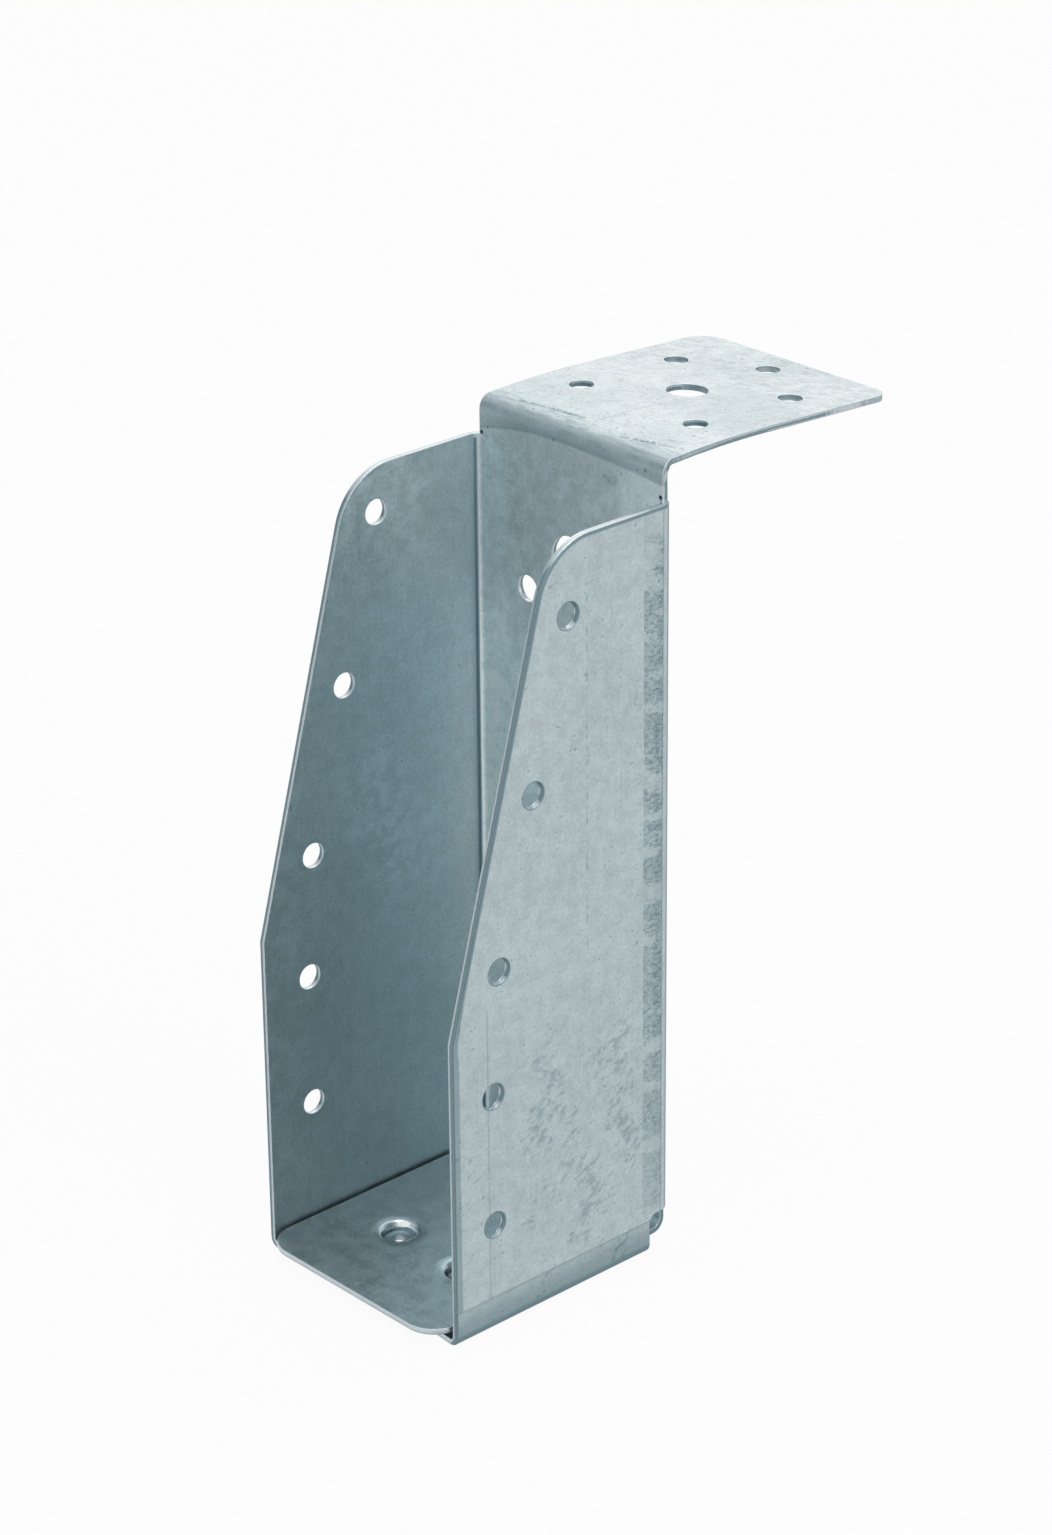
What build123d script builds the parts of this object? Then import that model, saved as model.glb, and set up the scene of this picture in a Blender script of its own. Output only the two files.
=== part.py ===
from build123d import *
import math
import os

os.makedirs("parts", exist_ok=True)

# A joist hanger folded from one sheet of galvanised steel, in millimetres.
# X runs across the joist, -Y along it away from the beam, and Z up. The seat's top is at z = 0
# and the back plate's front face, against which the joist's end stands, is at y = 0.

# Sheet and folds
sheet = 1.2
joist_width = 46.0
side_room = 0.15
strip_width = 45.0
side_bend_inner = 1.5
seat_bend_inner = 1.5
lip_bend_inner = 1.3
fold_bend_inner = 0.7

# Wings: their top, and how far each stands out before its front edge slants back
wing_top = 137.8
wing_corner = 12.0
slant_angle = 15.2
left_depth = 50.9
left_kink = 57.2
right_depth = 49.9
right_kink = 55.0

# Corner reliefs, which part the folds from each other
relief_top = 4.2
relief_depth = 4.0
relief_round = 1.5
notch_radius = 0.4
notch_rise = 0.35
notch_inset = 0.55

# Seat, and the two flanges folded in below it: each leaves its wing a little below the seat, then
# lies against it up to the seam
seat_depth = 54.0
seat_corner = 6.0
foot_gap = 1.0
press_gap = 0.15
press_start = 9.0
press_bend = 6.0
seam_x = 2.0
seam_gap = 0.6
flange_corner = 3.5

# Lip over the top of the beam: a short neck carries it up past the wings, and it rises gently to a
# crown, then falls
neck_height = 6.75
lip_depth = 54.5
crown_depth = 13.0
crown_angle = 3.0
crown_radius = 220.0
left_lip_corner = 5.0
right_lip_corner = 3.0

# Nail holes in the wings: a row along the slanted edge above a row along the upright edge
wing_hole = 4.6
slant_nail_depth = 23.2
slant_nail_below_top = 8.5
slant_nail_step = 30.65
slant_nail_count = 3
low_nail_depth = 40.9
low_nail_height = 22.4
low_nail_step = 24.8
low_nail_count = 2
right_nail_drop = 4.9

# Holes in the back plate
back_nail = 4.8
back_nail_height = 112.5
back_nail_spread = 21.2
back_bolt = 9.0
back_bolt_rise = 8.0

# Holes in the lip
lip_nail = 4.3
lip_nail_first = 16.0
lip_nail_spread = 27.8
lip_nail_step = 22.8
lip_rear_nail_inset = 6.9
lip_bolt = 7.3
lip_bolt_depth = 27.8

# Drawn cups that lock the seat to the flanges below it, each pierced through its floor
lock_cup = 5.2
lock_rim = 1.3
lock_floor = 1.5
lock_end = 2.5
lock_clearance = 7.0
lock_pierce = 2.2
left_lock = (-7.9, -34.9)
right_lock = (9.7, -35.4)

# Worked out from the sizes above
half_width = joist_width / 2 + side_room
outer_x = half_width + sheet
flat_half = half_width - side_bend_inner
foot_top = -sheet - foot_gap
press_top = -sheet - press_gap
wing_foot = foot_top + fold_bend_inner
slant = math.radians(slant_angle)
lip_height = wing_top + neck_height
crown_rise = math.tan(math.radians(crown_angle))
crown_height = lip_height + crown_rise * crown_depth
lip_end_height = crown_height - crown_rise * (lip_depth - crown_depth)

with BuildPart() as hanger:
    # Seat, back plate and lip are one strip, folded at the seat and again at the lip.
    with BuildSketch(Plane.YZ):
        with BuildLine():
            FilletPolyline(
                (-seat_depth, 0),
                (0, 0),
                (0, lip_height),
                (crown_depth, crown_height),
                (lip_depth, lip_end_height),
                radius=[seat_bend_inner, lip_bend_inner + sheet, crown_radius],
            )
            offset(amount=sheet, side=Side.RIGHT)
        make_face()
    extrude(amount=strip_width / 2, both=True)
    seat_end = hanger.faces().sort_by(Axis.Y)[0].edges().sort_by(Axis.X)
    fillet([seat_end[0], seat_end[-1]], radius=seat_corner)
    lip_end = hanger.faces().sort_by(Axis.Y)[-1].edges().sort_by(Axis.X)
    fillet(lip_end[0], radius=left_lip_corner)
    lip_end = hanger.faces().sort_by(Axis.Y)[-1].edges().sort_by(Axis.X)
    fillet(lip_end[-1], radius=right_lip_corner)

    # Between the reliefs the back plate's side edges give way to the bends of the wings.
    bend_height = wing_top - relief_top
    with Locations((0, 0, (wing_top + relief_top) / 2)):
        with GridLocations(2 * outer_x, 0, 2, 1):
            Box(2 * (outer_x - flat_half), 4 * sheet, bend_height, mode=Mode.SUBTRACT)
    with BuildSketch(Plane.XY.offset(relief_top)):
        with BuildLine():
            FilletPolyline(
                (-half_width, -2 * side_bend_inner),
                (-half_width, 0),
                (half_width, 0),
                (half_width, -2 * side_bend_inner),
                radius=side_bend_inner,
            )
            offset(amount=sheet, side=Side.LEFT)
        make_face()
    extrude(amount=bend_height)

    for side, depth, kink, nail_drop in (
        (-1, left_depth, left_kink, 0),
        (1, right_depth, right_kink, right_nail_drop),
    ):
        # The flat of the wing, with its nail holes
        with BuildSketch(Plane.YZ.offset(min(side * half_width, side * outer_x))):
            with BuildLine():
                FilletPolyline(
                    (-side_bend_inner, wing_top),
                    (-depth + (wing_top - kink) * math.tan(slant), wing_top),
                    (-depth, kink),
                    (-depth, wing_foot),
                    (-relief_depth, wing_foot),
                    (-relief_depth, relief_top),
                    (-side_bend_inner, relief_top),
                    radius=[0, wing_corner, 0, 0, 0, relief_round, 0],
                    close=True,
                )
            make_face()
            for i in range(slant_nail_count):
                run = i * slant_nail_step
                y = -slant_nail_depth - run * math.sin(slant)
                z = wing_top - slant_nail_below_top - run * math.cos(slant) - nail_drop
                with Locations((y, z)):
                    Circle(wing_hole / 2, mode=Mode.SUBTRACT)
            for i in range(low_nail_count):
                with Locations((-low_nail_depth, low_nail_height + i * low_nail_step - nail_drop)):
                    Circle(wing_hole / 2, mode=Mode.SUBTRACT)
        extrude(amount=sheet)

        # The wing's foot, folded inwards under the seat
        seam_edge = seam_x + side * seam_gap / 2
        with BuildSketch(Plane.XZ.offset(relief_depth)):
            with BuildLine():
                FilletPolyline(
                    (side * half_width, relief_top),
                    (side * half_width, foot_top),
                    (side * (half_width - press_start), press_top),
                    (seam_edge, press_top),
                    radius=[fold_bend_inner, press_bend],
                )
                offset(amount=sheet, side=Side.RIGHT if side < 0 else Side.LEFT)
            make_face()
        extrude(amount=depth - relief_depth)
        seam_edges = hanger.edges().filter_by(Axis.Z).filter_by_position(
            Axis.X, seam_edge - seam_gap / 4, seam_edge + seam_gap / 4
        )
        fillet(seam_edges.sort_by(Axis.Y)[0], radius=flange_corner)

    # Small round holes end the bend lines at the top of the wings.
    with Locations((0, 0, wing_top + notch_rise)):
        with GridLocations(strip_width - 2 * notch_inset, 0, 2, 1):
            Cylinder(notch_radius, 4 * sheet, rotation=(90, 0, 0), mode=Mode.SUBTRACT)

    # Drawn cups: the seat's metal is pressed down into the flange, which it holds.
    with BuildSketch(Plane.XY.offset(-sheet)):
        with Locations(left_lock, right_lock):
            Circle(lock_clearance / 2 + sheet)
    extrude(amount=-press_gap)
    with BuildSketch(Plane.XY):
        with Locations(left_lock, right_lock):
            Circle(lock_cup / 2)
    extrude(amount=-lock_floor, mode=Mode.SUBTRACT)
    cup_edges = hanger.edges().filter_by(GeomType.CIRCLE).filter_by(
        lambda edge: abs(edge.radius - lock_cup / 2) < 1e-3 and abs(edge.center().Z) < 1e-3
    )
    fillet(cup_edges, radius=lock_rim)
    with BuildSketch(Plane.XY.offset(-lock_floor)):
        with Locations(left_lock, right_lock):
            Circle(lock_pierce / 2)
    extrude(amount=press_top - sheet + lock_floor, mode=Mode.SUBTRACT)
    with BuildSketch(Plane.XY.offset(-lock_end)):
        with Locations(left_lock, right_lock):
            Circle(lock_clearance / 2)
    extrude(amount=press_top - sheet + lock_end, mode=Mode.SUBTRACT)

    # Nail holes and bolt hole of the back plate
    with BuildSketch(Plane.XZ.offset(-sheet)):
        with Locations((0, back_nail_height)):
            with GridLocations(back_nail_spread, 0, 2, 1):
                Circle(back_nail / 2)
        with Locations((0, back_nail_height + back_bolt_rise)):
            Circle(back_bolt / 2)
    extrude(amount=2 * sheet, mode=Mode.SUBTRACT)

    # Nail holes and bolt hole of the lip
    with BuildSketch(Plane.XY.offset(lip_end_height - 2 * sheet)):
        with Locations((0, lip_nail_first + lip_nail_step / 2)):
            with GridLocations(lip_nail_spread, lip_nail_step, 2, 2):
                Circle(lip_nail / 2)
        with Locations((0, lip_depth - lip_rear_nail_inset)):
            Circle(lip_nail / 2)
        with Locations((0, lip_bolt_depth)):
            Circle(lip_bolt / 2)
    extrude(amount=crown_height - lip_end_height + 4 * sheet, mode=Mode.SUBTRACT)

hanger.part.label = "hanger"
export_step(hanger.part, "parts/hanger.step")
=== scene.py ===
import bmesh
import bpy
import math
from mathutils import Matrix, Vector
from mathutils.bvhtree import BVHTree


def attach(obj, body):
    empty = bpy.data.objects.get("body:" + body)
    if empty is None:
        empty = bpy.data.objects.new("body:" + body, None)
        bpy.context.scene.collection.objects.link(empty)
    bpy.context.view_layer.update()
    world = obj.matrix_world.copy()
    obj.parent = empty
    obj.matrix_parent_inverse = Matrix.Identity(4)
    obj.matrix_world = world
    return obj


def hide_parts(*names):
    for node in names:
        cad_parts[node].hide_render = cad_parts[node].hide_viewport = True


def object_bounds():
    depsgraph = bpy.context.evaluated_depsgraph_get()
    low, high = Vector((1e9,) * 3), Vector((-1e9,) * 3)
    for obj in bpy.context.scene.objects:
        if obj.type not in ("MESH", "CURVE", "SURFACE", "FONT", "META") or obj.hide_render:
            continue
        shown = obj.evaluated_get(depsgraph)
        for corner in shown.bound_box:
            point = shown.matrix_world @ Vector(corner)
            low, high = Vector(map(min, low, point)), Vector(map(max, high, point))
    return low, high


# A galvanised joist hanger, folded from one sheet, on a pale studio floor.
# The seat's top is at z = 0 and the back plate's front face at y = 0.

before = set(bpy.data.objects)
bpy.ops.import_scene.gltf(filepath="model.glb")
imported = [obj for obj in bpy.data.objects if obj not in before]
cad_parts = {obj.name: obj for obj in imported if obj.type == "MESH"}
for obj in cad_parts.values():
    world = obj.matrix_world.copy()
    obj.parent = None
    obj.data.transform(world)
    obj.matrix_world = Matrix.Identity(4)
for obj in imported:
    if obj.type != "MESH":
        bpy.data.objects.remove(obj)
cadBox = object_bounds()
mm = 0.001
print("frame loaded")


def deselectAll():
    if bpy.context.object and bpy.context.object.mode != "OBJECT":
        bpy.ops.object.mode_set(mode="OBJECT")
    bpy.ops.object.select_all(action="DESELECT")


def makeActive(piece):
    deselectAll()
    piece.select_set(True)
    bpy.context.view_layer.objects.active = piece


def applyModifier(piece, kind, **settings):
    modifier = piece.modifiers.new(kind.title(), kind)
    for name, value in settings.items():
        setattr(modifier, name, value)
    makeActive(piece)
    bpy.ops.object.modifier_apply(modifier=modifier.name)


# Shader maths: a Wire is one output socket, and arithmetic on it adds Math nodes.
class Wire:
    def __init__(self, board, socket):
        self.board = board
        self.socket = socket

    def math(self, operation, *values):
        return self.board.add("ShaderNodeMath", {"operation": operation}, dict(enumerate(values)))

    def __add__(self, other):
        return self.math("ADD", self, other)

    __radd__ = __add__

    def __sub__(self, other):
        return self.math("SUBTRACT", self, other)

    def __rsub__(self, other):
        return self.math("SUBTRACT", other, self)

    def __mul__(self, other):
        return self.math("MULTIPLY", self, other)

    __rmul__ = __mul__

    def __gt__(self, other):
        return self.math("GREATER_THAN", self, other)

    def __lt__(self, other):
        return self.math("LESS_THAN", self, other)

    def __abs__(self):
        return self.math("ABSOLUTE", self)

    def root(self):
        return self.math("SQRT", self)

    def orLess(self, other):
        return self.math("MINIMUM", self, other)

    def orMore(self, other):
        return self.math("MAXIMUM", self, other)

    def clamped(self):
        return self.board.add("ShaderNodeClamp", {}, {0: self})


class Board:
    def __init__(self, owner):
        owner.use_nodes = True
        self.tree = owner.node_tree
        self.tree.nodes.clear()

    def node(self, kind, settings, inputs):
        node = self.tree.nodes.new(kind)
        for name, value in settings.items():
            setattr(node, name, value)
        for key, value in inputs.items():
            if isinstance(value, Wire):
                self.tree.links.new(value.socket, node.inputs[key])
            else:
                node.inputs[key].default_value = value
        return node

    def add(self, kind, settings, inputs, output=0):
        return Wire(self, self.node(kind, settings, inputs).outputs[output])

    def parts(self, kind, vector):
        node = self.node(kind, {}, {0: vector})
        return [Wire(self, node.outputs[i]) for i in range(3)]

    def smooth(self, value, low, high, first, last):
        inputs = {"Value": value, "From Min": low, "From Max": high, "To Min": first, "To Max": last}
        return self.add("ShaderNodeMapRange", {"interpolation_type": "SMOOTHSTEP"}, inputs)

    def rise(self, value, low, high):  # 0 below low, 1 above high
        return self.smooth(value, low, high, 0.0, 1.0)

    def fall(self, value, low, high):  # 1 below low, 0 above high
        return self.smooth(value, low, high, 1.0, 0.0)

    def slope(self, value, start, end):  # 0 at start, 1 at end, whichever is higher
        return self.rise(value, start, end) if start < end else self.fall(value, end, start)

    def band(self, value, low, high, soft):
        return self.rise(value, low - soft, low + soft) * self.fall(value, high - soft, high + soft)

    def length(self, u, v):
        return (u * u + v * v).root()

    def point(self, x, y):
        return self.add("ShaderNodeCombineXYZ", {}, {0: x, 1: y})

    def noise(self, place, scale, detail=2.0, roughness=0.5):
        inputs = {"Vector": place, "Scale": scale, "Detail": detail, "Roughness": roughness}
        return self.add("ShaderNodeTexNoise", {"noise_dimensions": "2D"}, inputs)

    def mix(self, factor, first, second, blend="MIX"):
        settings = {"data_type": "RGBA", "blend_type": blend}
        return self.add("ShaderNodeMix", settings, {0: factor, 6: first, 7: second}, output=2)

    def stroke(self, u, v, start, end, width):  # 1 on a line from start to end
        run = (end[0] - start[0], end[1] - start[1])
        squared = run[0] ** 2 + run[1] ** 2
        fromU = u - start[0]
        fromV = v - start[1]
        along = (fromU * (run[0] / squared) + fromV * (run[1] / squared)).clamped()
        return self.fall(self.length(fromU - along * run[0], fromV - along * run[1]), width / 2, width)


# The sheet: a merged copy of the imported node. Shearing rolls the outer arris over and leaves the
# inner one crisp.
sheetShape = {
    "thickness": 1.2,
    "skinWithin": 1.38,  # metal no deeper than this behind a face makes it a skin of the sheet
    "probeInset": 0.001,
    "mergeWithin": 0.002,
    "flatWithin": 0.4,  # degrees
    "sharpAbove": 38,  # degrees
    "rolledWidth": 0.28,
    "crispWidth": 0.09,
    "easedSegments": 3,
    "notch": (21.95, 138.15),  # x and z of the bend line's end hole
    "notchReach": 0.7,
    "locks": [(-7.9, -34.9), (9.7, -35.4)],
    "lockReach": 5.2,
    "lipAbove": 143.0,
    "pocketMiddle": (0, -25, 60),
}
skin, rolledArris, crispArris, shearedFace = range(4)


def makeFoldedSheet():
    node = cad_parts["hanger"]
    piece = bpy.data.objects.new("foldedSheet", node.data.copy())
    bpy.context.scene.collection.objects.link(piece)
    makeActive(piece)
    bpy.ops.object.mode_set(mode="EDIT")
    bpy.ops.mesh.select_all(action="SELECT")
    bpy.ops.mesh.remove_doubles(threshold=sheetShape["mergeWithin"] * mm)
    bpy.ops.mesh.dissolve_limited(angle_limit=math.radians(sheetShape["flatWithin"]))
    bpy.ops.object.mode_set(mode="OBJECT")
    if piece.data.has_custom_normals:
        bpy.ops.mesh.customdata_custom_splitnormals_clear()
    piece.data.materials.clear()
    for _ in (skin, rolledArris, crispArris, shearedFace):
        piece.data.materials.append(None)
    return piece


# A face is sheared where the metal behind it goes deeper than the sheet is thick.
def markShearedFaces(piece):
    mesh = piece.data
    tree = BVHTree.FromPolygons([v.co for v in mesh.vertices], [p.vertices for p in mesh.polygons])
    thick = [0.0] * len(mesh.polygons)
    thin = [0.0] * len(mesh.polygons)
    mesh.calc_loop_triangles()
    for triangle in mesh.loop_triangles:
        middle = sum((mesh.vertices[i].co for i in triangle.vertices), Vector()) / 3
        inset = triangle.normal * sheetShape["probeInset"] * mm
        hit = tree.ray_cast(middle - inset, -triangle.normal)
        isSkin = hit[0] is not None and hit[3] < sheetShape["skinWithin"] * mm
        areas = thin if isSkin else thick
        areas[triangle.polygon_index] += triangle.area
    for polygon in mesh.polygons:
        sheared = thick[polygon.index] > thin[polygon.index]
        polygon.material_index = shearedFace if sheared else skin
    print("sheared faces:", sum(p.material_index == shearedFace for p in mesh.polygons))


def facesPocket(face):
    middle = face.calc_center_median() / mm
    if middle.z > sheetShape["lipAbove"]:
        return face.normal.z - face.normal.y > 0
    return face.normal.dot(Vector(sheetShape["pocketMiddle"]) - middle) > 0


def keptPlain(point):
    x, y, z = point / mm
    notchX, notchZ = sheetShape["notch"]
    if math.hypot(abs(x) - notchX, z - notchZ) < sheetShape["notchReach"]:
        return True
    return any(
        math.hypot(x - lockX, y - lockY) < sheetShape["lockReach"] and z < sheetShape["thickness"]
        for lockX, lockY in sheetShape["locks"]
    )


def weighArrises(piece, inner):
    shape = bmesh.new()
    shape.from_mesh(piece.data)
    layer = shape.edges.layers.float
    weight = layer.get("bevel_weight_edge") or layer.new("bevel_weight_edge")
    sharp = math.radians(sheetShape["sharpAbove"])
    count = 0
    for edge in shape.edges:
        edge[weight] = 0.0
        if len(edge.link_faces) != 2 or edge.calc_face_angle_signed() < sharp:
            continue
        if keptPlain((edge.verts[0].co + edge.verts[1].co) / 2):
            continue
        skins = [face for face in edge.link_faces if face.material_index == skin]
        if skins and facesPocket(skins[0]) == inner:
            edge[weight] = 1.0
            count += 1
    shape.to_mesh(piece.data)
    shape.free()
    print("inner" if inner else "outer", "arris edges:", count)


def easeArrises(piece):
    for inner, width, kind in (
        (False, sheetShape["rolledWidth"], rolledArris),
        (True, sheetShape["crispWidth"], crispArris),
    ):
        weighArrises(piece, inner)
        applyModifier(
            piece,
            "BEVEL",
            width=width * mm,
            segments=sheetShape["easedSegments"],
            limit_method="WEIGHT",
            use_clamp_overlap=False,
            loop_slide=False,
            material=kind,
        )


# The kind of each face, and how far across a sheared face a corner lies, go to the material.
def writeEdgeKinds(piece):
    mesh = piece.data
    outerCorners = set()
    for polygon in mesh.polygons:
        if polygon.material_index == rolledArris:
            outerCorners.update(polygon.vertices)
    kinds = mesh.attributes.new("edgeKind", "FLOAT_COLOR", "CORNER")
    for polygon in mesh.polygons:
        kind = polygon.material_index
        for corner in polygon.loop_indices:
            across = mesh.loops[corner].vertex_index in outerCorners
            marks = (kind == shearedFace, kind == rolledArris, kind == crispArris, across)
            kinds.data[corner].color = marks
        polygon.material_index = 0


foldedSheet = makeFoldedSheet()
print("sheet merged:", len(foldedSheet.data.polygons), "faces")
markShearedFaces(foldedSheet)
easeArrises(foldedSheet)
writeEdgeKinds(foldedSheet)
makeActive(foldedSheet)
bpy.ops.object.shade_smooth_by_angle(angle=math.radians(sheetShape["sharpAbove"]))
applyModifier(foldedSheet, "WEIGHTED_NORMAL", mode="FACE_AREA", weight=50, keep_sharp=True)
print("arrises eased:", len(foldedSheet.data.polygons), "faces")


# The zinc finish. Places and widths are millimetres on the folded sheet.
sheetLook = {
    "zinc": (0.60, 0.703, 0.735, 1),
    "pale": (0.80, 0.85, 0.875, 1),
    # deep also carries the painted shade, and bright the painted highlights, that the finish lays on
    "deep": (0.205, 0.315, 0.36, 1),  # marks and torn metal are shaded with it
    "bright": (0.80, 0.87, 0.90, 1),  # cut edges and crisp arrises shine with it
    "roughness": 0.41,
    # The folded sheet, as the solid has it
    "outerX": 24.35,
    "innerX": 23.15,
    "wingTop": 137.8,
    "wingDepths": (50.9, 49.9),  # left, right
    "wingKinks": (57.2, 55.0),  # left, right
    "slant": 15.2,  # degrees
    "wingCorner": 12.0,
    "lipHoles": (19.0, 51.0),  # the lip's holes lie within this x and y
    "reliefs": (-4.5, 4.6),  # the corner reliefs lie behind this y and below this z
    "squareOn": (0.6, 0.8),  # how squarely a face has to look to a side to belong to it
    # The rolled pattern, and what each part of it adds to the tone
    "cloudNoise": {"scale": 0.055, "detail": 3.0},
    "mottleNoise": {"scale": 0.33, "detail": 4.0, "roughness": 0.65},
    "grainNoise": {"scale": 1.5, "detail": 3.0, "roughness": 0.6},
    "contrast": (0.3, 0.7),
    "rolledScales": (1.3, 0.045),  # across the rolling direction and along it
    "evenTone": 0.91,
    "cloudTone": 0.05,
    "mottleTone": 0.1,
    "grainTone": 0.36,
    "lineTone": 0.02,
    "haloTone": 0.05,
    # Painted light and shade in the pocket: how much brighter each side is, and how that changes over it
    "pocketPaintedLevels": {"plate": -0.02, "wing": -0.15, "seat": -0.28},
    "pocketPaintedSlopes": [
        {"on": "plate", "along": "z", "from": 120.0, "to": 85.0, "lift": 0.24},
        {"on": "wing", "along": "z", "from": 5.0, "to": 80.0, "lift": 0.12},
        {"on": "wing", "along": "y", "from": -42.0, "to": -4.0, "lift": 0.11},
        {"on": "seat", "along": "x", "from": -12.0, "to": 16.0, "lift": 0.27},
        {"on": "seat", "along": "y", "from": -54.0, "to": -30.0, "lift": 0.2},
    ],
    "plateMottle": 0.08,
    "plateTop": {"z": (100.0, 128.0), "left": (-20.0, -12.0), "right": (9.0, 17.0)},
    "plateTopShade": 0.2,
    "plateTopLift": 0.04,
    # Painted light: the plate's left corner inside the pocket is lighter and paler
    "paintedLightCorner": {"x": (-19.5, -13.0), "z": (100.0, 120.0), "tone": 0.08, "pale": 0.3},
    "cornerPaintedShade": {"x": 15.0, "y": (-4.5, -3.0), "z": (3.0, 5.0), "shade": 0.6},
    "lightPatches": [(-21.5, 71.0, 10.0), (-21.0, 130.0, 8.0)],  # inside the left wing: y, z, radius
    "patchTone": 0.14,
    # Wear and the tools' marks
    "pits": [
        {"cell": 6.0, "share": 0.42, "radius": 0.30},
        {"cell": 2.3, "share": 0.34, "radius": 0.17},
    ],
    "pitShade": 0.5,
    "scuffs": {
        "middle": (-21.0, 26.0),  # y and z on the right wing
        "reach": (6.0, 34.0),
        "heights": (30.0, 80.0),
        "level": (0.655, 0.78),
        "shade": 0.5,
        "lipRear": (28.0, 46.0),
        "lipLevel": (0.54, 0.66),
        "lipShade": 0.27,
    },
    "wornBand": (-6.0, -1.6),  # where the bending tool gripped the wings
    "wornHeights": (6.0, 133.0),
    "wornFoot": (15.0, 50.0),  # the band fades towards the foot
    # Painted shade along the outside of each wing's bend
    "bandShadeLine": {"from": -1.72, "to": -1.44, "soft": 0.08, "shade": 0.45},
    "bendShadeLine": {"from": -0.45, "to": 0.45, "soft": 0.17, "shade": 0.7},
    "bendHeights": (4.4, 137.0),
    "dieMark": 3.45,  # height of the line along the foot of each wing
    "footLine": {"from": 3.33, "to": 3.57, "soft": 0.1, "shade": 0.22},
    "dieStep": 0.1,
    # Painted shade on the foot, deepening towards its fold
    "footShade": 0.29,
    "footLow": {"z": (-0.2, 3.0), "shade": 0.33},
    "footFold": {"z": (-2.0, -0.6), "shade": 0.4},
    "drawnHeights": (48.0, 66.0),  # the drawn strip is wide and faint below, narrow and dark above
    "pressLine": 141.5,  # height of the line's middle, from which it bows down to both sides
    "pressMiddle": -3.0,
    "pressBow": (0.0072, 0.002),  # left, right
    "pressShade": 0.2,
    "crest": (0.9, 4.4),
    # Lock cups: polish, a painted highlight on the seat beside each, and painted shade inside
    "cupPolish": (3.4, 4.6),  # distances from a lock cup's middle
    "cupPaintedHighlight": (1.5, 5.6),
    "cupPaintedShade": (2.5, 3.0),
    "cupDrawn": (1.0, 5.6),
    "cupShade": 0.6,
    "cupDepth": 1.2,
    "paintedHighlightShift": (-1.6, 1.6),
    # Sheared faces: how far across them each strip lies, and how far they and the reliefs are shaded,
    # partly with painted shade
    "cutStrip": (0.14, 0.4),
    "tornFrom": (0.38, 0.5),
    "reliefShade": 0.4,
    "lipHoleShade": 0.35,
    "rolledShade": 0.85,
    "strokes": {
        "wing": [
            {"start": (-42.1, 59.0), "end": (-42.1, 3.6), "width": 0.22, "shade": 0.3},
            {"start": (-7.4, 106.5), "end": (-8.3, 104.2), "width": 0.2, "shade": 0.25},
            {"start": (-8.3, 104.2), "end": (-6.4, 103.4), "width": 0.16, "shade": 0.25},
            {"start": (-19.1, 129.0), "end": (-19.1, 62.0), "width": 0.3, "shade": 0.4, "broken": 0.5},
            {"start": (-30.5, 92.0), "end": (-30.8, 74.0), "width": 0.25, "shade": 0.3, "broken": 0.56},
        ],
        "lip": [
            {"start": (-15.5, 3.3), "end": (-4.5, 4.4), "width": 0.5, "shade": 0.5, "broken": 0.4},
            {"start": (-8.5, 4.6), "end": (-1.5, 4.9), "width": 0.5, "shade": 0.55, "broken": 0.4},
            {"start": (0.9, 5.2), "end": (2.6, 19.9), "width": 0.2, "shade": 0.3},
            {"start": (9.5, 3.0), "end": (16.0, 5.2), "width": 0.5, "shade": 0.5, "broken": 0.45},
            {"start": (13.5, 4.0), "end": (20.5, 6.0), "width": 0.6, "shade": 0.5, "broken": 0.45},
            {"start": (12.0, 5.6), "end": (19.0, 8.2), "width": 0.5, "shade": 0.4, "broken": 0.5},
        ],
        "plate": [
            {"start": (-6.0, 137.8), "end": (3.8, 134.6), "width": 0.9, "shade": 0.28, "broken": 0.5},
            {"start": (9.2, 138.2), "end": (10.6, 138.4), "width": 1.5, "shade": 0.4, "broken": 0.42},
            {"start": (-16.5, 131.5), "end": (-13.0, 131.0), "width": 0.9, "shade": 0.3, "broken": 0.5},
        ],
        "seat": [
            {"start": (1.6, -53.5), "end": (2.3, -14.0), "width": 0.3, "shade": 0.1},
        ],
    },
}


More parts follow.
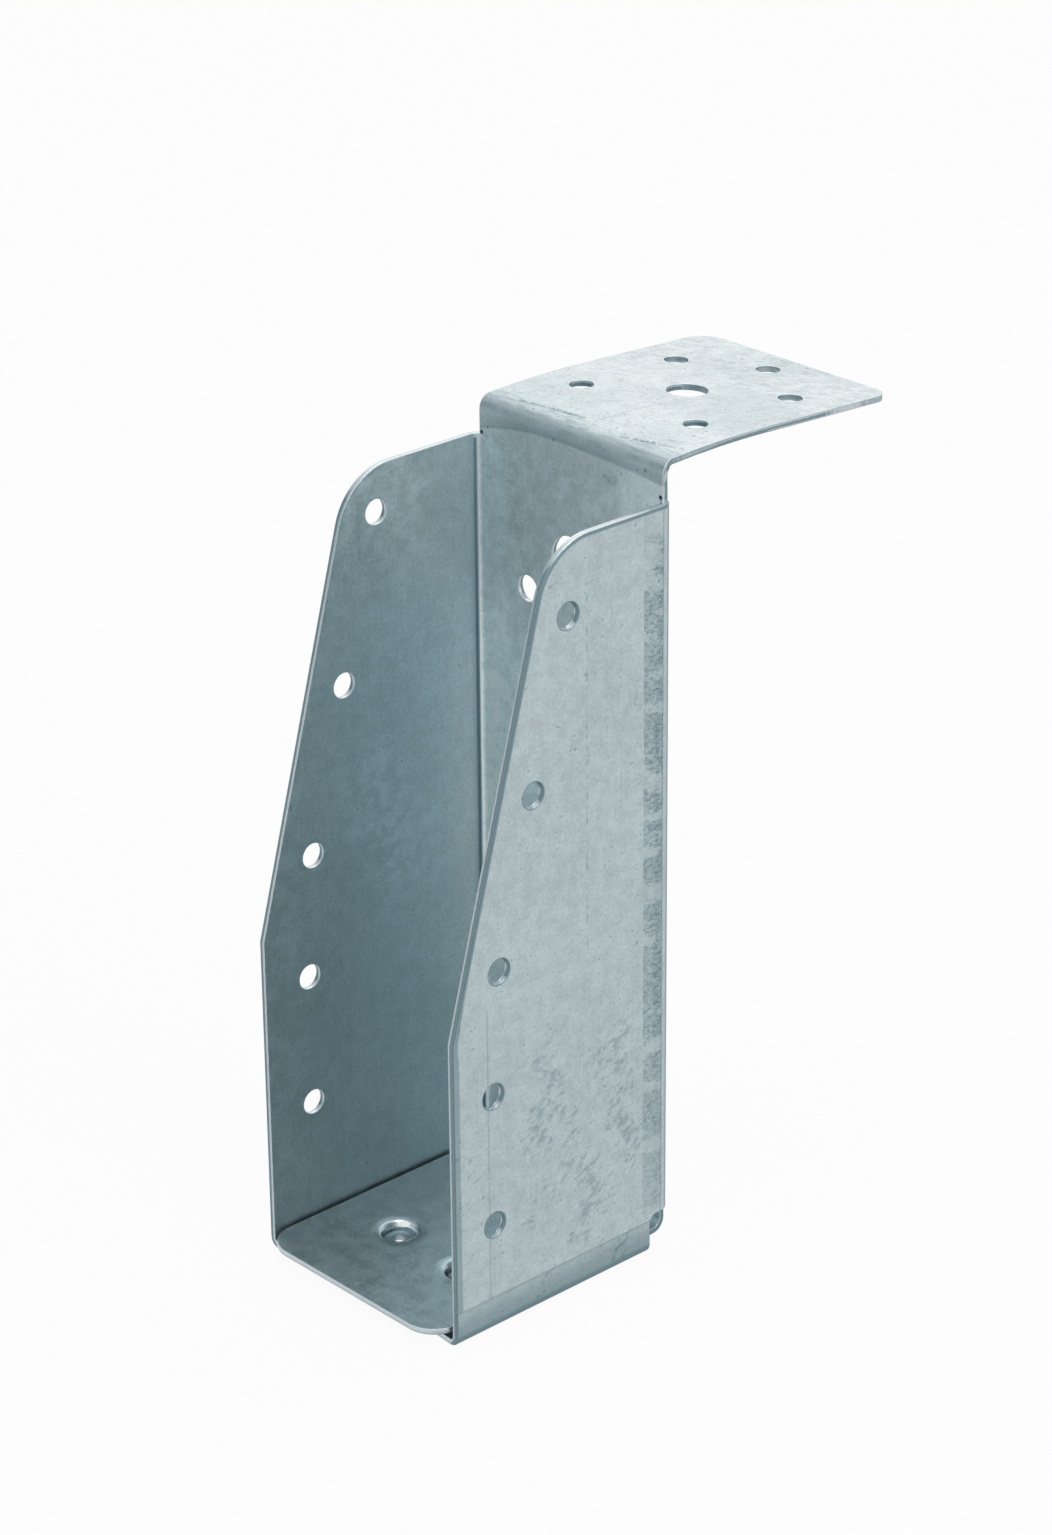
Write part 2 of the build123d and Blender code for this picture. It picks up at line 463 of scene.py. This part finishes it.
class Sheet:
    # Where a point lies on the folded sheet
    def __init__(self, board):
        look = sheetLook
        coordinates = board.node("ShaderNodeTexCoord", {}, {})
        place = Wire(board, coordinates.outputs["Object"])
        inMillimetres = board.add(
            "ShaderNodeVectorMath", {"operation": "SCALE"}, {"Vector": place, "Scale": 1 / mm}
        )
        self.x, self.y, self.z = board.parts("ShaderNodeSeparateXYZ", inMillimetres)
        facing = board.parts("ShaderNodeSeparateXYZ", Wire(board, coordinates.outputs["Normal"]))
        self.facingX, self.facingY, self.facingZ = facing
        self.wing = board.rise(abs(self.facingX), *look["squareOn"])
        self.level = board.rise(abs(self.facingZ), *look["squareOn"])
        self.plate = board.rise(abs(self.facingY), *look["squareOn"])
        self.skyward = board.rise(self.facingZ, *look["squareOn"])
        self.outerWing = self.wing * (abs(self.x) > look["outerX"] - 0.3)
        self.leftInner = self.wing * (self.x < 0.3 - look["innerX"]) * (self.x > -0.3 - look["innerX"])
        self.lip = self.level * (self.z > look["wingTop"] + 3)
        self.seat = self.level * (self.z > -0.1) * (self.z < 0.1)
        self.front = self.y < 0.1
        self.inside = self.front * (abs(self.x) < look["innerX"] + 0.1) * (self.z < look["wingTop"])
        # u runs across the rolling direction, v along it, and w parts the faces
        self.u = self.x * (1 - self.wing) + self.y * self.wing
        self.v = self.z * (1 - self.level) + self.y * self.level
        self.w = self.x * self.wing * 13.7 + self.z * self.level * 2.7
        self.flat = board.point(self.u + self.w, self.v)
        across, along = look["rolledScales"]
        self.rolled = board.point(self.u * across + self.w, self.v * along)
        kinds = board.node("ShaderNodeAttribute", {"attribute_name": "edgeKind"}, {})
        marks = board.parts("ShaderNodeSeparateColor", Wire(board, kinds.outputs["Color"]))
        self.sheared, self.rolledOver, self.crisp = marks
        self.across = Wire(board, kinds.outputs["Alpha"])


# Broad clouds, finer mottle, grain, and faint lines along the rolling direction
def rolledPattern(board, sheet):
    look = sheetLook
    clouds = board.rise(board.noise(sheet.flat, **look["cloudNoise"]), *look["contrast"])
    mottle = board.rise(board.noise(sheet.flat, **look["mottleNoise"]), *look["contrast"])
    grain = board.noise(sheet.flat, **look["grainNoise"])
    lines = board.rise(board.noise(sheet.rolled, 1.0), *look["contrast"])
    tone = clouds * look["cloudTone"] + mottle * look["mottleTone"] + (grain - 0.5) * look["grainTone"]
    return clouds, mottle, grain, tone + lines * look["lineTone"] + look["evenTone"]


# Painted light and shade in the pocket: each side gets its own level and slopes of brightness, and the
# plate's top is dimmed.
def pocketPaintedLight(board, sheet, mottle):
    look = sheetLook
    lift = sheet.plate * mottle * look["plateMottle"]
    for side, level in look["pocketPaintedLevels"].items():
        lift = lift + getattr(sheet, side) * level
    for slope in look["pocketPaintedSlopes"]:
        risen = board.slope(getattr(sheet, slope["along"]), slope["from"], slope["to"])
        lift = lift + getattr(sheet, slope["on"]) * risen * slope["lift"]
    top = look["plateTop"]
    dimmed = sheet.front * sheet.plate * board.rise(sheet.z, *top["z"]) * board.rise(sheet.x, *top["left"])
    dimmed = dimmed * (board.fall(sheet.x, *top["right"]) * look["plateTopShade"] - look["plateTopLift"])
    return 1 + sheet.inside * lift - dimmed


# Soft light patches inside the left wing
def lightPatches(board, sheet, clouds, mottle):
    patches = 0.0
    for patchY, patchZ, radius in sheetLook["lightPatches"]:
        away = board.length(sheet.y - patchY, (sheet.z - patchZ) * 0.7) - clouds * 5.0
        patches = board.fall(away, radius * 0.1, radius) + patches
    return patches * sheet.leftInner * mottle * sheetLook["patchTone"]


# How far a point on a wing is from the wing's outline
def distanceFromOutline(board, sheet):
    look = sheetLook
    right = sheet.x > 0
    depth = right * (look["wingDepths"][1] - look["wingDepths"][0]) + look["wingDepths"][0]
    kink = right * (look["wingKinks"][1] - look["wingKinks"][0]) + look["wingKinks"][0]
    along = math.sin(math.radians(look["slant"]))
    square = math.cos(math.radians(look["slant"]))
    radius = look["wingCorner"]
    fromFront = sheet.y + depth
    fromSlant = fromFront * square - (sheet.z - kink) * along
    fromTop = look["wingTop"] - sheet.z
    middleZ = look["wingTop"] - radius
    middleY = (radius + (middleZ - kink) * along) * (1 / square) - depth
    offY = sheet.y - middleY
    offZ = sheet.z - middleZ
    inCorner = (offY < 0) * ((offY * along + offZ * square) > 0)
    fromRound = radius - board.length(offY, offZ)
    straight = fromFront.orLess(fromSlant).orLess(fromTop)
    return straight * (1 - inCorner) + fromRound * inCorner


# One in so many cells of the sheet holds a pit, with a light halo round it.
def pits(board, sheet, cell, share, radius):
    ragged = board.noise(sheet.flat, 2.2, detail=1.0) * 0.5
    shaken = board.add(
        "ShaderNodeVectorMath", {"operation": "ADD"}, {0: sheet.flat, 1: board.point(ragged, ragged * 0.7)}
    )
    cells = board.node(
        "ShaderNodeTexVoronoi", {"voronoi_dimensions": "2D"}, {"Vector": shaken, "Scale": 1 / cell}
    )
    chance, size, depth = board.parts("ShaderNodeSeparateColor", Wire(board, cells.outputs["Color"]))
    reach = Wire(board, cells.outputs["Distance"]) * cell - size * (radius * 0.7)
    chosen = chance < share
    hollow = board.fall(reach, radius * 0.4, radius * 0.9) * chosen
    halo = board.fall(reach, radius * 1.0, radius * 2.2) * chosen - hollow
    return hollow * (depth * 0.6 + 0.4), halo.orMore(0.0)


def scuffMarks(board, sheet):
    look = sheetLook["scuffs"]
    struck = board.point(sheet.u * 0.45 + sheet.v * 0.2 + sheet.w, sheet.v * 0.8 - sheet.u * 0.45)
    ragged = board.noise(struck, 0.75, detail=5.0, roughness=0.8)
    clusters = board.noise(sheet.flat, 0.11, detail=1.0)
    lowerWing = board.fall(sheet.z, *look["heights"]) * 0.8 + 0.2
    middleY, middleZ = look["middle"]
    fromMiddle = board.length(sheet.y - middleY, (sheet.z - middleZ) * math.sqrt(0.8))
    gathered = board.fall(fromMiddle, *look["reach"]) * 0.09
    scuffs = board.rise(ragged * 0.75 + clusters * 0.35 + gathered, *look["level"])
    lipScuffs = board.rise(ragged + board.rise(sheet.y, *look["lipRear"]) * 0.05, *look["lipLevel"])
    return scuffs * sheet.outerWing * lowerWing, lipScuffs * sheet.lip


# The band that the bending tool wore along the back of each wing
def wornBand(board, sheet):
    look = sheetLook
    start, end = look["wornBand"]
    blocks = board.noise(board.point(sheet.y * 0.05, sheet.z * 0.2 + sheet.y * 0.04), 1.0, detail=1.0)
    rubbed = board.point(sheet.y * 0.8, sheet.z * 1.6 + sheet.y * 0.3)
    fine = board.noise(rubbed, 1.0, detail=4.0, roughness=0.8)
    patches = board.rise(blocks + fine * 0.25, 0.51, 0.62) * (board.rise(fine, 0.36, 0.62) * 0.42 + 0.16)
    patches = patches + board.rise(fine, 0.5, 0.7) * 0.28
    nearBend = board.rise(sheet.y, start + 1.6, end - 1.0) * (blocks * 0.3 + 0.03)
    inBand = board.band(sheet.y, start, end, 0.07) * board.band(sheet.z, *look["wornHeights"], 3.0)
    inBand = inBand * (board.rise(sheet.z, *look["wornFoot"]) * 0.4 + 0.6)
    return inBand * sheet.outerWing * (patches + nearBend)


def darkLine(board, value, line):
    return board.band(value, line["from"], line["to"], line["soft"]) * line["shade"]


# Painted shade: dark lines along the wings' bends, outside and in the pocket
def wingBendPaintedShade(board, sheet):
    look = sheetLook
    outside = darkLine(board, sheet.y, look["bandShadeLine"]) + darkLine(board, sheet.y, look["bendShadeLine"])
    sideways = abs(sheet.facingX)
    innerBendShade = board.band(sideways, 0.72, 0.94, 0.05) * 0.9 + board.band(sideways, 0.25, 0.4, 0.08) * 0.25
    bendShadeLines = outside * (1 - sheet.inside) + (innerBendShade + 0.05) * sheet.inside
    onBend = (abs(sheet.x) > look["innerX"] - 1.6) * board.rise(sheet.y, -1.85, -1.7)
    return bendShadeLines * onBend * board.band(sheet.z, *look["bendHeights"], 0.2)


# The foot of each wing is pressed round the seat; painted shade darkens it towards its fold, and a dark
# line runs along the die mark.
def footLineAndPaintedShade(board, sheet):
    look = sheetLook
    shade = look["footShade"]
    for part in (look["footLow"], look["footFold"]):
        shade = board.fall(sheet.z, *part["z"]) * part["shade"] + shade
    onFoot = (sheet.z < look["dieMark"]) * (abs(sheet.x) > look["innerX"] + 0.3) * (1 - sheet.sheared)
    return onFoot * shade + darkLine(board, sheet.z, look["footLine"]) * sheet.outerWing


# The strip of a wing's face that shearing drew down along its outline, darkened with painted shade
def drawnStripPaintedShade(board, sheet):
    heights = sheetLook["drawnHeights"]
    width = board.fall(sheet.z, *heights) * 0.75 + 0.75
    strip = board.fall(distanceFromOutline(board, sheet) - width, -0.25, 0.1)
    strip = strip * sheet.outerWing * (sheet.z > sheetLook["dieMark"])
    return strip * (board.rise(sheet.z, *heights) * 0.3 + 0.55)


# The press line under the lip, painted shade on the bend above it, and its crest: streaks of wear over
# painted shade
def lipPressLineAndPaintedShade(board, sheet):
    look = sheetLook
    top = look["wingTop"]
    leftBow, rightBow = look["pressBow"]
    left = (sheet.x - look["pressMiddle"]).orLess(0.0)
    right = (sheet.x - look["pressMiddle"]).orMore(0.0)
    fromLine = sheet.z + left * left * leftBow + right * right * rightBow - look["pressLine"]
    line = board.band(fromLine, -0.2, 0.25, 0.2) * board.fall(sheet.x, 4.0, 16.0)
    line = line * sheet.plate * (sheet.y < 0.3)
    lipBendPaintedShade = board.rise(fromLine, -0.3, 0.3) * board.fall(sheet.y, 0.9, 1.6) * (sheet.facingY < 0)
    lipBendPaintedShade = lipBendPaintedShade * (board.fall(sheet.z, top + 3.4, top + 7.0) * 0.5 + 0.06)
    streaks = board.noise(board.point(sheet.x * 0.16, sheet.y * 1.1), 1.0, detail=3.0, roughness=0.65)
    crest = board.rise(streaks, 0.42, 0.62) * 0.24 + board.fall(sheet.y, 1.8, 4.0) * 0.22 + 0.06
    crest = crest * board.band(sheet.y, *look["crest"], 0.5) * (sheet.z > top + 5)
    return line * look["pressShade"] + lipBendPaintedShade + crest


# The metal drawn down round the lock cups is polished by their punch; beside each cup a painted highlight
# glows on the seat, and painted shade darkens the cup's inside.
def lockCups(board, sheet):
    look = sheetLook
    shiftX, shiftY = look["paintedHighlightShift"]
    fromLock = fromPaintedHighlight = 99.0
    for lockX, lockY in sheetShape["locks"]:
        offX = sheet.x - lockX
        offY = sheet.y - lockY
        fromLock = board.length(offX, offY).orLess(fromLock)
        fromPaintedHighlight = board.length(offX - shiftX, offY - shiftY).orLess(fromPaintedHighlight)
    polished = board.fall(fromLock, *look["cupPolish"]) * (sheet.z < 0.1) * board.rise(sheet.z, -1.2, -0.7)
    glow = board.fall(fromPaintedHighlight, *look["cupPaintedHighlight"]) * sheet.seat
    dark = board.fall(fromLock, *look["cupPaintedShade"]) * board.fall(sheet.z, -1.2, -0.5) * (sheet.z > -3.0)
    return polished, glow, dark, board.fall(fromLock, *look["cupDrawn"])


def scratches(board, sheet):
    zones = {
        "wing": (sheet.y, sheet.z, sheet.outerWing * (sheet.x > 0)),
        "lip": (sheet.x, sheet.y, sheet.lip),
        "plate": (sheet.x, sheet.z, sheet.plate * sheet.front),
        "seat": (sheet.x, sheet.y, sheet.seat),
    }
    dashes = board.noise(sheet.flat, 0.7, detail=3.0, roughness=0.7)
    shade = 0.0
    for side, (u, v, zone) in zones.items():
        for mark in sheetLook["strokes"][side]:
            line = board.stroke(u, v, mark["start"], mark["end"], mark["width"]) * zone
            if "broken" in mark:
                line = line * board.rise(dashes, mark["broken"], mark["broken"] + 0.08)
            shade = line * mark["shade"] + shade
    return shade


# Sheared faces: a smooth cut strip beside a torn, darker one, with painted highlights and painted shade
def shearedEdges(board, sheet):
    look = sheetLook
    reliefY, reliefZ = look["reliefs"]
    holeX, holeY = look["lipHoles"]
    reliefPaintedShade = (sheet.y > reliefY) * (sheet.z < reliefZ) * sheet.sheared
    inLip = (sheet.z > sheetShape["lipAbove"]) * (abs(sheet.x) < holeX) * (sheet.y < holeY)
    wobble = sheet.across + (board.noise(sheet.flat, 0.9, detail=3.0) - 0.5) * 0.3
    cutStrip = board.band(wobble, *look["cutStrip"], 0.07) * (1 - reliefPaintedShade)
    torn = board.rise(wobble, *look["tornFrom"])
    paintedGlints = board.rise(board.noise(sheet.flat, 0.8, detail=3.0, roughness=0.7), 0.5, 0.62)
    # Painted highlight on sheared faces that look up and on the seat's front edge; painted shade in the
    # corner reliefs and the lip's holes
    seatEnd = (sheet.z < 0.0) * (abs(sheet.x) < look["innerX"] - 0.5) * (sheet.facingY < -0.2)
    paintedLitFaces = sheet.skyward.orMore(seatEnd)
    shade = (torn * 0.55 + 0.3) * (1 - paintedLitFaces * 0.75) + inLip * look["lipHoleShade"]
    shade = sheet.sheared * shade + reliefPaintedShade * look["reliefShade"]
    # Rolled arrises get painted shade where they look away from the sky and a painted highlight where they
    # look up; crisp arrises get painted glints
    shade = shade + sheet.rolledOver * (1 - sheet.skyward) * look["rolledShade"]
    burnishAndPaintedHighlight = sheet.sheared * (cutStrip * 0.7 + paintedLitFaces * 0.3 + sheet.skyward * 0.25)
    burnishAndPaintedHighlight = burnishAndPaintedHighlight + sheet.crisp * (paintedGlints * 0.7 + 0.3) + sheet.rolledOver * sheet.skyward * 0.8
    return shade, burnishAndPaintedHighlight, sheet.sheared * torn


def galvanised():
    look = sheetLook
    material = bpy.data.materials.new("galvanisedSheet")
    board = Board(material)
    sheet = Sheet(board)
    clouds, mottle, grain, tone = rolledPattern(board, sheet)
    hollows = halos = 0.0
    for kind in look["pits"]:
        hollow, halo = pits(board, sheet, **kind)
        hollows = hollow + hollows
        halos = halo + halos
    hollows = hollows.clamped() * (1 - sheet.sheared) * (1 - sheet.inside * 0.5)
    scuffs, lipScuffs = scuffMarks(board, sheet)
    worn = wornBand(board, sheet)
    polished, glow, cupPaintedShade, drawnDown = lockCups(board, sheet)
    edgeTornAndPaintedShade, edgeBurnishAndPaintedHighlight, torn = shearedEdges(board, sheet)

    # How light and how pale the zinc is, with painted light in the pocket and in its plate's left corner
    corner = look["paintedLightCorner"]
    inCorner = sheet.inside * sheet.plate * board.fall(sheet.x, *corner["x"])
    inCorner = inCorner * board.fall(sheet.z, *corner["z"])
    tone = tone * pocketPaintedLight(board, sheet, mottle) * (1 + inCorner * corner["tone"])
    tone = tone + lightPatches(board, sheet, clouds, mottle)
    tone = tone + halos * look["haloTone"] * (1 - sheet.sheared)
    # Painted light makes the lip's top and the plate's corner paler; round the lock cups the polish pales
    # it, partly as a painted highlight
    pale = inCorner * corner["pale"] + sheet.lip * (clouds * 0.25 + 0.27) + polished * 0.8

    # What darkens it, marks and painted shade, and what shines, burnish and painted highlights
    # Painted shade low in the pocket's back right corner, by the relief
    nook = look["cornerPaintedShade"]
    cornerPaintedShade = sheet.inside * (sheet.x > nook["x"]) * board.fall(sheet.z, *nook["z"])
    shade = cornerPaintedShade * board.rise(sheet.y, *nook["y"]) * nook["shade"]
    shade = shade + scuffs * look["scuffs"]["shade"] + lipScuffs * look["scuffs"]["lipShade"]
    shade = shade + hollows * look["pitShade"] + cupPaintedShade * look["cupShade"] + worn + edgeTornAndPaintedShade
    # Tool marks and scratches, and painted shade along the bends, the foot, the drawn strip and the lip's
    # bend
    for marks in (wingBendPaintedShade, footLineAndPaintedShade, drawnStripPaintedShade, lipPressLineAndPaintedShade, scratches):
        shade = shade + marks(board, sheet)
    # glow is the painted highlight beside each lock cup
    burnishAndPaintedHighlight = (edgeBurnishAndPaintedHighlight + glow * 0.75).clamped()

    evened = board.add("ShaderNodeCombineColor", {}, {0: tone, 1: tone, 2: tone})
    colour = board.mix(pale.clamped(), look["zinc"], look["pale"])
    colour = board.mix(1.0, colour, evened, "MULTIPLY")
    colour = board.mix(shade.clamped(), colour, look["deep"])
    colour = board.mix(burnishAndPaintedHighlight, colour, look["bright"])
    rough = mottle * 0.08 + (scuffs + worn) * 0.1 + hollows * 0.15 + look["roughness"]
    rough = (rough - burnishAndPaintedHighlight * 0.2 - polished * 0.2 + torn * 0.1).clamped()

    # Heights in millimetres for the bump
    aboveDie = board.rise(sheet.z, look["dieMark"] - 0.5, look["dieMark"] + 0.1) * sheet.outerWing
    height = grain * 0.012 - hollows * 0.05 - drawnDown * look["cupDepth"] + aboveDie * look["dieStep"]
    bump = board.add("ShaderNodeBump", {}, {"Strength": 1.0, "Distance": 1.0 * mm, "Height": height})
    shader = board.add(
        "ShaderNodeBsdfPrincipled",
        {},
        {"Base Color": colour, "Metallic": 1.0, "Roughness": rough, "Normal": bump},
    )
    board.node("ShaderNodeOutputMaterial", {}, {"Surface": shader})
    return material


foldedSheet.data.materials.clear()
foldedSheet.data.materials.append(galvanised())
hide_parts("hanger")
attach(foldedSheet, "root")
print("finish laid on")


# Studio: a white floor that keeps a soft shadow, a white surround with a grey flag at the front left
# that only reflections see, and soft lamps
white = (1, 1, 1, 1)
studio = {
    "floorSize": 6.0,
    "floorDrop": 0.02,  # mm below the sheet
    "floorColour": (0.86, 0.86, 0.86, 1),
    "floorLift": 0.93,
    "floorInGloss": 0.69,
    "worldLight": 0.65,
    "skyInGloss": (1.0, 0.965, 0.95, 1),
    "flagInGloss": (0.22, 0.30, 0.33, 1),
    "flagFromBack": (-0.55, 0.45),
    "flagFromRight": (-0.6, -0.3),
    "aim": (0, 0, 0.07),
    "softBoxes": {
        "skyPanel": {"place": (-0.9, 1.0, 1.5), "size": 1.3, "watts": 1.4, "colour": (1.0, 0.97, 0.94)},
        "topPanel": {"place": (0.0, -0.03, 1.35), "size": 0.4, "watts": 1.6, "colour": white[:3]},
        "sidePanel": {"place": (1.6, 0.1, 1.0), "size": 1.2, "watts": 8.0, "colour": white[:3]},
    },
}


# What the camera and reflections see is bright; diffuse light comes from a dimmer surround.
def rays(board):
    path = board.node("ShaderNodeLightPath", {}, {})
    camera, glossy, passing = (
        Wire(board, path.outputs[name])
        for name in ("Is Camera Ray", "Is Glossy Ray", "Is Transmission Ray")
    )
    return glossy, (camera + glossy + passing).clamped()


def makeFloor():
    deselectAll()
    height = cadBox[0].z - studio["floorDrop"] * mm
    bpy.ops.mesh.primitive_plane_add(size=studio["floorSize"], location=(0, 0, height))
    floor = bpy.context.object
    floor.name = "studioFloor"
    material = bpy.data.materials.new("studioFloor")
    board = Board(material)
    glossy, seen = rays(board)
    matte = board.add("ShaderNodeBsdfDiffuse", {}, {"Color": studio["floorColour"]})
    level = 1 - glossy * (1 - studio["floorInGloss"])
    glow = board.add("ShaderNodeEmission", {}, {"Color": white, "Strength": level})
    shown = board.add("ShaderNodeMixShader", {}, {0: seen * studio["floorLift"], 1: matte, 2: glow})
    board.node("ShaderNodeOutputMaterial", {}, {"Surface": shown})
    floor.data.materials.append(material)


def makeWorld():
    world = bpy.data.worlds.new("studioWorld")
    bpy.context.scene.world = world
    board = Board(world)
    glossy, seen = rays(board)
    direction = board.add("ShaderNodeTexCoord", {}, {}, output="Generated")
    towardsRight, towardsBack = board.parts("ShaderNodeSeparateXYZ", direction)[:2]
    flag = board.fall(towardsBack, *studio["flagFromBack"])
    flag = flag * board.fall(towardsRight, *studio["flagFromRight"])
    reflected = board.mix(flag, studio["skyInGloss"], studio["flagInGloss"])
    tint = board.mix(glossy, white, reflected)
    dim = board.add("ShaderNodeBackground", {}, {"Color": white, "Strength": studio["worldLight"]})
    bright = board.add("ShaderNodeBackground", {}, {"Color": tint, "Strength": 1.0})
    mixed = board.add("ShaderNodeMixShader", {}, {0: seen, 1: dim, 2: bright})
    board.node("ShaderNodeOutputWorld", {}, {"Surface": mixed})


def makeSoftBox(name, box):
    lamp = bpy.data.lights.new(name, "AREA")
    lamp.shape = "SQUARE"
    lamp.size = box["size"]
    lamp.energy = box["watts"]
    lamp.color = box["colour"]
    lampObject = bpy.data.objects.new(name, lamp)
    bpy.context.scene.collection.objects.link(lampObject)
    lampObject.location = box["place"]
    towards = Vector(studio["aim"]) - lampObject.location
    lampObject.rotation_euler = towards.to_track_quat("-Z", "Y").to_euler()


makeFloor()
makeWorld()
for name, softBox in studio["softBoxes"].items():
    makeSoftBox(name, softBox)
print("studio set")


# Camera at the photograph's viewing angle
viewpoint = {
    "place": (0.492957, -0.461897, 0.389728),
    "azimuth": 47.52,
    "elevation": 24.48,
    "roll": -0.54,
    "lens": 100.33,
    "sensor": 36,
    "clip": (0.05, 50),
}


def makeCamera():
    lens = bpy.data.cameras.new("photoCamera")
    lens.lens = viewpoint["lens"]
    lens.sensor_width = viewpoint["sensor"]
    lens.clip_start, lens.clip_end = viewpoint["clip"]
    camera = bpy.data.objects.new("photoCamera", lens)
    bpy.context.scene.collection.objects.link(camera)
    turn = (
        Matrix.Rotation(math.radians(viewpoint["azimuth"]), 4, "Z")
        @ Matrix.Rotation(math.radians(90 - viewpoint["elevation"]), 4, "X")
        @ Matrix.Rotation(math.radians(viewpoint["roll"]), 4, "Z")
    )
    camera.matrix_world = Matrix.Translation(viewpoint["place"]) @ turn
    bpy.context.scene.camera = camera


makeCamera()
bpy.context.scene.view_settings.view_transform = "Standard"
print("camera placed")
